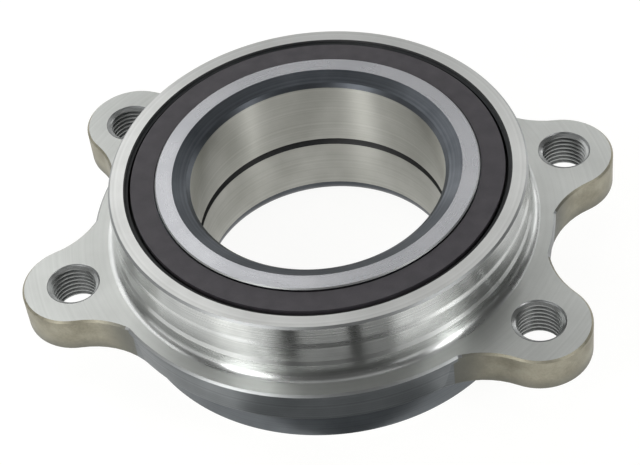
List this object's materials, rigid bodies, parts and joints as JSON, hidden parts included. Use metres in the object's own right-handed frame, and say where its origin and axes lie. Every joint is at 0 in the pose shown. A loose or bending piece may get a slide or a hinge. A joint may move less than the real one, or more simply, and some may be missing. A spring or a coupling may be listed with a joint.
{
  "type": "wheel hub bearing",
  "caption": "Flanged wheel hub bearing: forged outer ring with tapped ears, twin inner rings, double ball rows in snap cages, cassette seals and a magnetised encoder ring.",
  "frame": {"origin": "on the bore axis, at the outboard face of the inner rings, on which the bearing stands", "axes": "+Z along the bore towards the encoder side, which faces the knuckle and the drive joint; +X along the long side of the bolt rectangle"},
  "size_m": [0.136, 0.1124, 0.0398],
  "materials": {
    "forged_steel": "turned on the pilot and flange face, forged below",
    "ground_steel": "ground",
    "polished_steel": "lapped",
    "pressed_steel": "cold rolled and pressed",
    "nitrile_rubber": "moulded, matt",
    "magnet_rubber": "moulded and magnetised, flat and matt",
    "cage_polyamide": "moulded, glass filled"
  },
  "bodies": {
    "outer_ring": {"outer_ring": "forged_steel", "seal_case_inboard": "pressed_steel", "seal_lips_inboard": "nitrile_rubber", "seal_case_outboard": "pressed_steel", "seal_lips_outboard": "nitrile_rubber"},
    "inner_rings": {"inner_ring_inboard": "ground_steel", "inner_ring_outboard": "ground_steel", "flinger_inboard": "pressed_steel", "encoder_ring": "magnet_rubber", "flinger_outboard": "pressed_steel"},
    "cage_inboard": {"cage_inboard": "cage_polyamide"},
    "cage_outboard": {"cage_outboard": "cage_polyamide"},
    "ball_inboard_01": {"ball_inboard_01": "polished_steel"},
    "ball_inboard_02": {"ball_inboard_02": "polished_steel"},
    "ball_inboard_03": {"ball_inboard_03": "polished_steel"},
    "ball_inboard_04": {"ball_inboard_04": "polished_steel"},
    "ball_inboard_05": {"ball_inboard_05": "polished_steel"},
    "ball_inboard_06": {"ball_inboard_06": "polished_steel"},
    "ball_inboard_07": {"ball_inboard_07": "polished_steel"},
    "ball_inboard_08": {"ball_inboard_08": "polished_steel"},
    "ball_inboard_09": {"ball_inboard_09": "polished_steel"},
    "ball_inboard_10": {"ball_inboard_10": "polished_steel"},
    "ball_inboard_11": {"ball_inboard_11": "polished_steel"},
    "ball_inboard_12": {"ball_inboard_12": "polished_steel"},
    "ball_inboard_13": {"ball_inboard_13": "polished_steel"},
    "ball_inboard_14": {"ball_inboard_14": "polished_steel"},
    "ball_inboard_15": {"ball_inboard_15": "polished_steel"},
    "ball_inboard_16": {"ball_inboard_16": "polished_steel"},
    "ball_inboard_17": {"ball_inboard_17": "polished_steel"},
    "ball_outboard_01": {"ball_outboard_01": "polished_steel"},
    "ball_outboard_02": {"ball_outboard_02": "polished_steel"},
    "ball_outboard_03": {"ball_outboard_03": "polished_steel"},
    "ball_outboard_04": {"ball_outboard_04": "polished_steel"},
    "ball_outboard_05": {"ball_outboard_05": "polished_steel"},
    "ball_outboard_06": {"ball_outboard_06": "polished_steel"},
    "ball_outboard_07": {"ball_outboard_07": "polished_steel"},
    "ball_outboard_08": {"ball_outboard_08": "polished_steel"},
    "ball_outboard_09": {"ball_outboard_09": "polished_steel"},
    "ball_outboard_10": {"ball_outboard_10": "polished_steel"},
    "ball_outboard_11": {"ball_outboard_11": "polished_steel"},
    "ball_outboard_12": {"ball_outboard_12": "polished_steel"},
    "ball_outboard_13": {"ball_outboard_13": "polished_steel"},
    "ball_outboard_14": {"ball_outboard_14": "polished_steel"},
    "ball_outboard_15": {"ball_outboard_15": "polished_steel"},
    "ball_outboard_16": {"ball_outboard_16": "polished_steel"},
    "ball_outboard_17": {"ball_outboard_17": "polished_steel"}
  },
  "joints": [
    {"name": "inner_spin", "type": "hinge", "parent": "outer_ring", "child": "inner_rings", "pos_m": [0, 0, 0.019], "axis": [0, 0, 1], "continuous": true},
    {"name": "cage_inboard_spin", "type": "hinge", "parent": "outer_ring", "child": "cage_inboard", "pos_m": [0, 0, 0.0263], "axis": [0, 0, 1], "continuous": true},
    {"name": "ball_inboard_01_spin", "type": "hinge", "parent": "cage_inboard", "child": "ball_inboard_01", "pos_m": [0.0399, 0, 0.0263], "axis": [0.6157, 0, 0.788], "continuous": true},
    {"name": "ball_inboard_02_spin", "type": "hinge", "parent": "cage_inboard", "child": "ball_inboard_02", "pos_m": [0.0372, 0.01441, 0.0263], "axis": [0.5741, 0.2224, 0.788], "continuous": true},
    {"name": "ball_inboard_03_spin", "type": "hinge", "parent": "cage_inboard", "child": "ball_inboard_03", "pos_m": [0.02948, 0.02688, 0.0263], "axis": [0.455, 0.4148, 0.788], "continuous": true},
    {"name": "ball_inboard_04_spin", "type": "hinge", "parent": "cage_inboard", "child": "ball_inboard_04", "pos_m": [0.01778, 0.03571, 0.0263], "axis": [0.2744, 0.5511, 0.788], "continuous": true},
    {"name": "ball_inboard_05_spin", "type": "hinge", "parent": "cage_inboard", "child": "ball_inboard_05", "pos_m": [0.00368, 0.03973, 0.0263], "axis": [0.0568, 0.613, 0.788], "continuous": true},
    {"name": "ball_inboard_06_spin", "type": "hinge", "parent": "cage_inboard", "child": "ball_inboard_06", "pos_m": [-0.01092, 0.03837, 0.0263], "axis": [-0.1685, 0.5922, 0.788], "continuous": true},
    {"name": "ball_inboard_07_spin", "type": "hinge", "parent": "cage_inboard", "child": "ball_inboard_07", "pos_m": [-0.02404, 0.03184, 0.0263], "axis": [-0.371, 0.4913, 0.788], "continuous": true},
    {"name": "ball_inboard_08_spin", "type": "hinge", "parent": "cage_inboard", "child": "ball_inboard_08", "pos_m": [-0.03392, 0.021, 0.0263], "axis": [-0.5234, 0.3241, 0.788], "continuous": true},
    {"name": "ball_inboard_09_spin", "type": "hinge", "parent": "cage_inboard", "child": "ball_inboard_09", "pos_m": [-0.03922, 0.00733, 0.0263], "axis": [-0.6052, 0.1131, 0.788], "continuous": true},
    {"name": "ball_inboard_10_spin", "type": "hinge", "parent": "cage_inboard", "child": "ball_inboard_10", "pos_m": [-0.03922, -0.00733, 0.0263], "axis": [-0.6052, -0.1131, 0.788], "continuous": true},
    {"name": "ball_inboard_11_spin", "type": "hinge", "parent": "cage_inboard", "child": "ball_inboard_11", "pos_m": [-0.03392, -0.021, 0.0263], "axis": [-0.5234, -0.3241, 0.788], "continuous": true},
    {"name": "ball_inboard_12_spin", "type": "hinge", "parent": "cage_inboard", "child": "ball_inboard_12", "pos_m": [-0.02404, -0.03184, 0.0263], "axis": [-0.371, -0.4913, 0.788], "continuous": true},
    {"name": "ball_inboard_13_spin", "type": "hinge", "parent": "cage_inboard", "child": "ball_inboard_13", "pos_m": [-0.01092, -0.03837, 0.0263], "axis": [-0.1685, -0.5922, 0.788], "continuous": true},
    {"name": "ball_inboard_14_spin", "type": "hinge", "parent": "cage_inboard", "child": "ball_inboard_14", "pos_m": [0.00368, -0.03973, 0.0263], "axis": [0.0568, -0.613, 0.788], "continuous": true},
    {"name": "ball_inboard_15_spin", "type": "hinge", "parent": "cage_inboard", "child": "ball_inboard_15", "pos_m": [0.01778, -0.03571, 0.0263], "axis": [0.2744, -0.5511, 0.788], "continuous": true},
    {"name": "ball_inboard_16_spin", "type": "hinge", "parent": "cage_inboard", "child": "ball_inboard_16", "pos_m": [0.02948, -0.02688, 0.0263], "axis": [0.455, -0.4148, 0.788], "continuous": true},
    {"name": "ball_inboard_17_spin", "type": "hinge", "parent": "cage_inboard", "child": "ball_inboard_17", "pos_m": [0.0372, -0.01441, 0.0263], "axis": [0.5741, -0.2224, 0.788], "continuous": true},
    {"name": "cage_outboard_spin", "type": "hinge", "parent": "outer_ring", "child": "cage_outboard", "pos_m": [0, 0, 0.01169], "axis": [0, 0, 1], "continuous": true},
    {"name": "ball_outboard_01_spin", "type": "hinge", "parent": "cage_outboard", "child": "ball_outboard_01", "pos_m": [0.03922, 0.00733, 0.01169], "axis": [-0.6052, -0.1131, 0.788], "continuous": true},
    {"name": "ball_outboard_02_spin", "type": "hinge", "parent": "cage_outboard", "child": "ball_outboard_02", "pos_m": [0.03392, 0.021, 0.01169], "axis": [-0.5234, -0.3241, 0.788], "continuous": true},
    {"name": "ball_outboard_03_spin", "type": "hinge", "parent": "cage_outboard", "child": "ball_outboard_03", "pos_m": [0.02404, 0.03184, 0.01169], "axis": [-0.371, -0.4913, 0.788], "continuous": true},
    {"name": "ball_outboard_04_spin", "type": "hinge", "parent": "cage_outboard", "child": "ball_outboard_04", "pos_m": [0.01092, 0.03837, 0.01169], "axis": [-0.1685, -0.5922, 0.788], "continuous": true},
    {"name": "ball_outboard_05_spin", "type": "hinge", "parent": "cage_outboard", "child": "ball_outboard_05", "pos_m": [-0.00368, 0.03973, 0.01169], "axis": [0.0568, -0.613, 0.788], "continuous": true},
    {"name": "ball_outboard_06_spin", "type": "hinge", "parent": "cage_outboard", "child": "ball_outboard_06", "pos_m": [-0.01778, 0.03571, 0.01169], "axis": [0.2744, -0.5511, 0.788], "continuous": true},
    {"name": "ball_outboard_07_spin", "type": "hinge", "parent": "cage_outboard", "child": "ball_outboard_07", "pos_m": [-0.02948, 0.02688, 0.01169], "axis": [0.455, -0.4148, 0.788], "continuous": true},
    {"name": "ball_outboard_08_spin", "type": "hinge", "parent": "cage_outboard", "child": "ball_outboard_08", "pos_m": [-0.0372, 0.01441, 0.01169], "axis": [0.5741, -0.2224, 0.788], "continuous": true},
    {"name": "ball_outboard_09_spin", "type": "hinge", "parent": "cage_outboard", "child": "ball_outboard_09", "pos_m": [-0.0399, 0, 0.01169], "axis": [0.6157, 0, 0.788], "continuous": true},
    {"name": "ball_outboard_10_spin", "type": "hinge", "parent": "cage_outboard", "child": "ball_outboard_10", "pos_m": [-0.0372, -0.01441, 0.01169], "axis": [0.5741, 0.2224, 0.788], "continuous": true},
    {"name": "ball_outboard_11_spin", "type": "hinge", "parent": "cage_outboard", "child": "ball_outboard_11", "pos_m": [-0.02948, -0.02688, 0.01169], "axis": [0.455, 0.4148, 0.788], "continuous": true},
    {"name": "ball_outboard_12_spin", "type": "hinge", "parent": "cage_outboard", "child": "ball_outboard_12", "pos_m": [-0.01778, -0.03571, 0.01169], "axis": [0.2744, 0.5511, 0.788], "continuous": true},
    {"name": "ball_outboard_13_spin", "type": "hinge", "parent": "cage_outboard", "child": "ball_outboard_13", "pos_m": [-0.00368, -0.03973, 0.01169], "axis": [0.0568, 0.613, 0.788], "continuous": true},
    {"name": "ball_outboard_14_spin", "type": "hinge", "parent": "cage_outboard", "child": "ball_outboard_14", "pos_m": [0.01092, -0.03837, 0.01169], "axis": [-0.1685, 0.5922, 0.788], "continuous": true},
    {"name": "ball_outboard_15_spin", "type": "hinge", "parent": "cage_outboard", "child": "ball_outboard_15", "pos_m": [0.02404, -0.03184, 0.01169], "axis": [-0.371, 0.4913, 0.788], "continuous": true},
    {"name": "ball_outboard_16_spin", "type": "hinge", "parent": "cage_outboard", "child": "ball_outboard_16", "pos_m": [0.03392, -0.021, 0.01169], "axis": [-0.5234, 0.3241, 0.788], "continuous": true},
    {"name": "ball_outboard_17_spin", "type": "hinge", "parent": "cage_outboard", "child": "ball_outboard_17", "pos_m": [0.03922, -0.00733, 0.01169], "axis": [-0.6052, 0.1131, 0.788], "continuous": true}
  ],
  "couplings": [
    {"joint": "cage_inboard_spin", "follows": "inner_spin", "ratio": 0.44121},
    {"joint": "ball_inboard_01_spin", "follows": "inner_spin", "ratio": -3.3046},
    {"joint": "ball_inboard_02_spin", "follows": "inner_spin", "ratio": -3.3046},
    {"joint": "ball_inboard_03_spin", "follows": "inner_spin", "ratio": -3.3046},
    {"joint": "ball_inboard_04_spin", "follows": "inner_spin", "ratio": -3.3046},
    {"joint": "ball_inboard_05_spin", "follows": "inner_spin", "ratio": -3.3046},
    {"joint": "ball_inboard_06_spin", "follows": "inner_spin", "ratio": -3.3046},
    {"joint": "ball_inboard_07_spin", "follows": "inner_spin", "ratio": -3.3046},
    {"joint": "ball_inboard_08_spin", "follows": "inner_spin", "ratio": -3.3046},
    {"joint": "ball_inboard_09_spin", "follows": "inner_spin", "ratio": -3.3046},
    {"joint": "ball_inboard_10_spin", "follows": "inner_spin", "ratio": -3.3046},
    {"joint": "ball_inboard_11_spin", "follows": "inner_spin", "ratio": -3.3046},
    {"joint": "ball_inboard_12_spin", "follows": "inner_spin", "ratio": -3.3046},
    {"joint": "ball_inboard_13_spin", "follows": "inner_spin", "ratio": -3.3046},
    {"joint": "ball_inboard_14_spin", "follows": "inner_spin", "ratio": -3.3046},
    {"joint": "ball_inboard_15_spin", "follows": "inner_spin", "ratio": -3.3046},
    {"joint": "ball_inboard_16_spin", "follows": "inner_spin", "ratio": -3.3046},
    {"joint": "ball_inboard_17_spin", "follows": "inner_spin", "ratio": -3.3046},
    {"joint": "cage_outboard_spin", "follows": "inner_spin", "ratio": 0.44121},
    {"joint": "ball_outboard_01_spin", "follows": "inner_spin", "ratio": -3.3046},
    {"joint": "ball_outboard_02_spin", "follows": "inner_spin", "ratio": -3.3046},
    {"joint": "ball_outboard_03_spin", "follows": "inner_spin", "ratio": -3.3046},
    {"joint": "ball_outboard_04_spin", "follows": "inner_spin", "ratio": -3.3046},
    {"joint": "ball_outboard_05_spin", "follows": "inner_spin", "ratio": -3.3046},
    {"joint": "ball_outboard_06_spin", "follows": "inner_spin", "ratio": -3.3046},
    {"joint": "ball_outboard_07_spin", "follows": "inner_spin", "ratio": -3.3046},
    {"joint": "ball_outboard_08_spin", "follows": "inner_spin", "ratio": -3.3046},
    {"joint": "ball_outboard_09_spin", "follows": "inner_spin", "ratio": -3.3046},
    {"joint": "ball_outboard_10_spin", "follows": "inner_spin", "ratio": -3.3046},
    {"joint": "ball_outboard_11_spin", "follows": "inner_spin", "ratio": -3.3046},
    {"joint": "ball_outboard_12_spin", "follows": "inner_spin", "ratio": -3.3046},
    {"joint": "ball_outboard_13_spin", "follows": "inner_spin", "ratio": -3.3046},
    {"joint": "ball_outboard_14_spin", "follows": "inner_spin", "ratio": -3.3046},
    {"joint": "ball_outboard_15_spin", "follows": "inner_spin", "ratio": -3.3046},
    {"joint": "ball_outboard_16_spin", "follows": "inner_spin", "ratio": -3.3046},
    {"joint": "ball_outboard_17_spin", "follows": "inner_spin", "ratio": -3.3046}
  ]
}
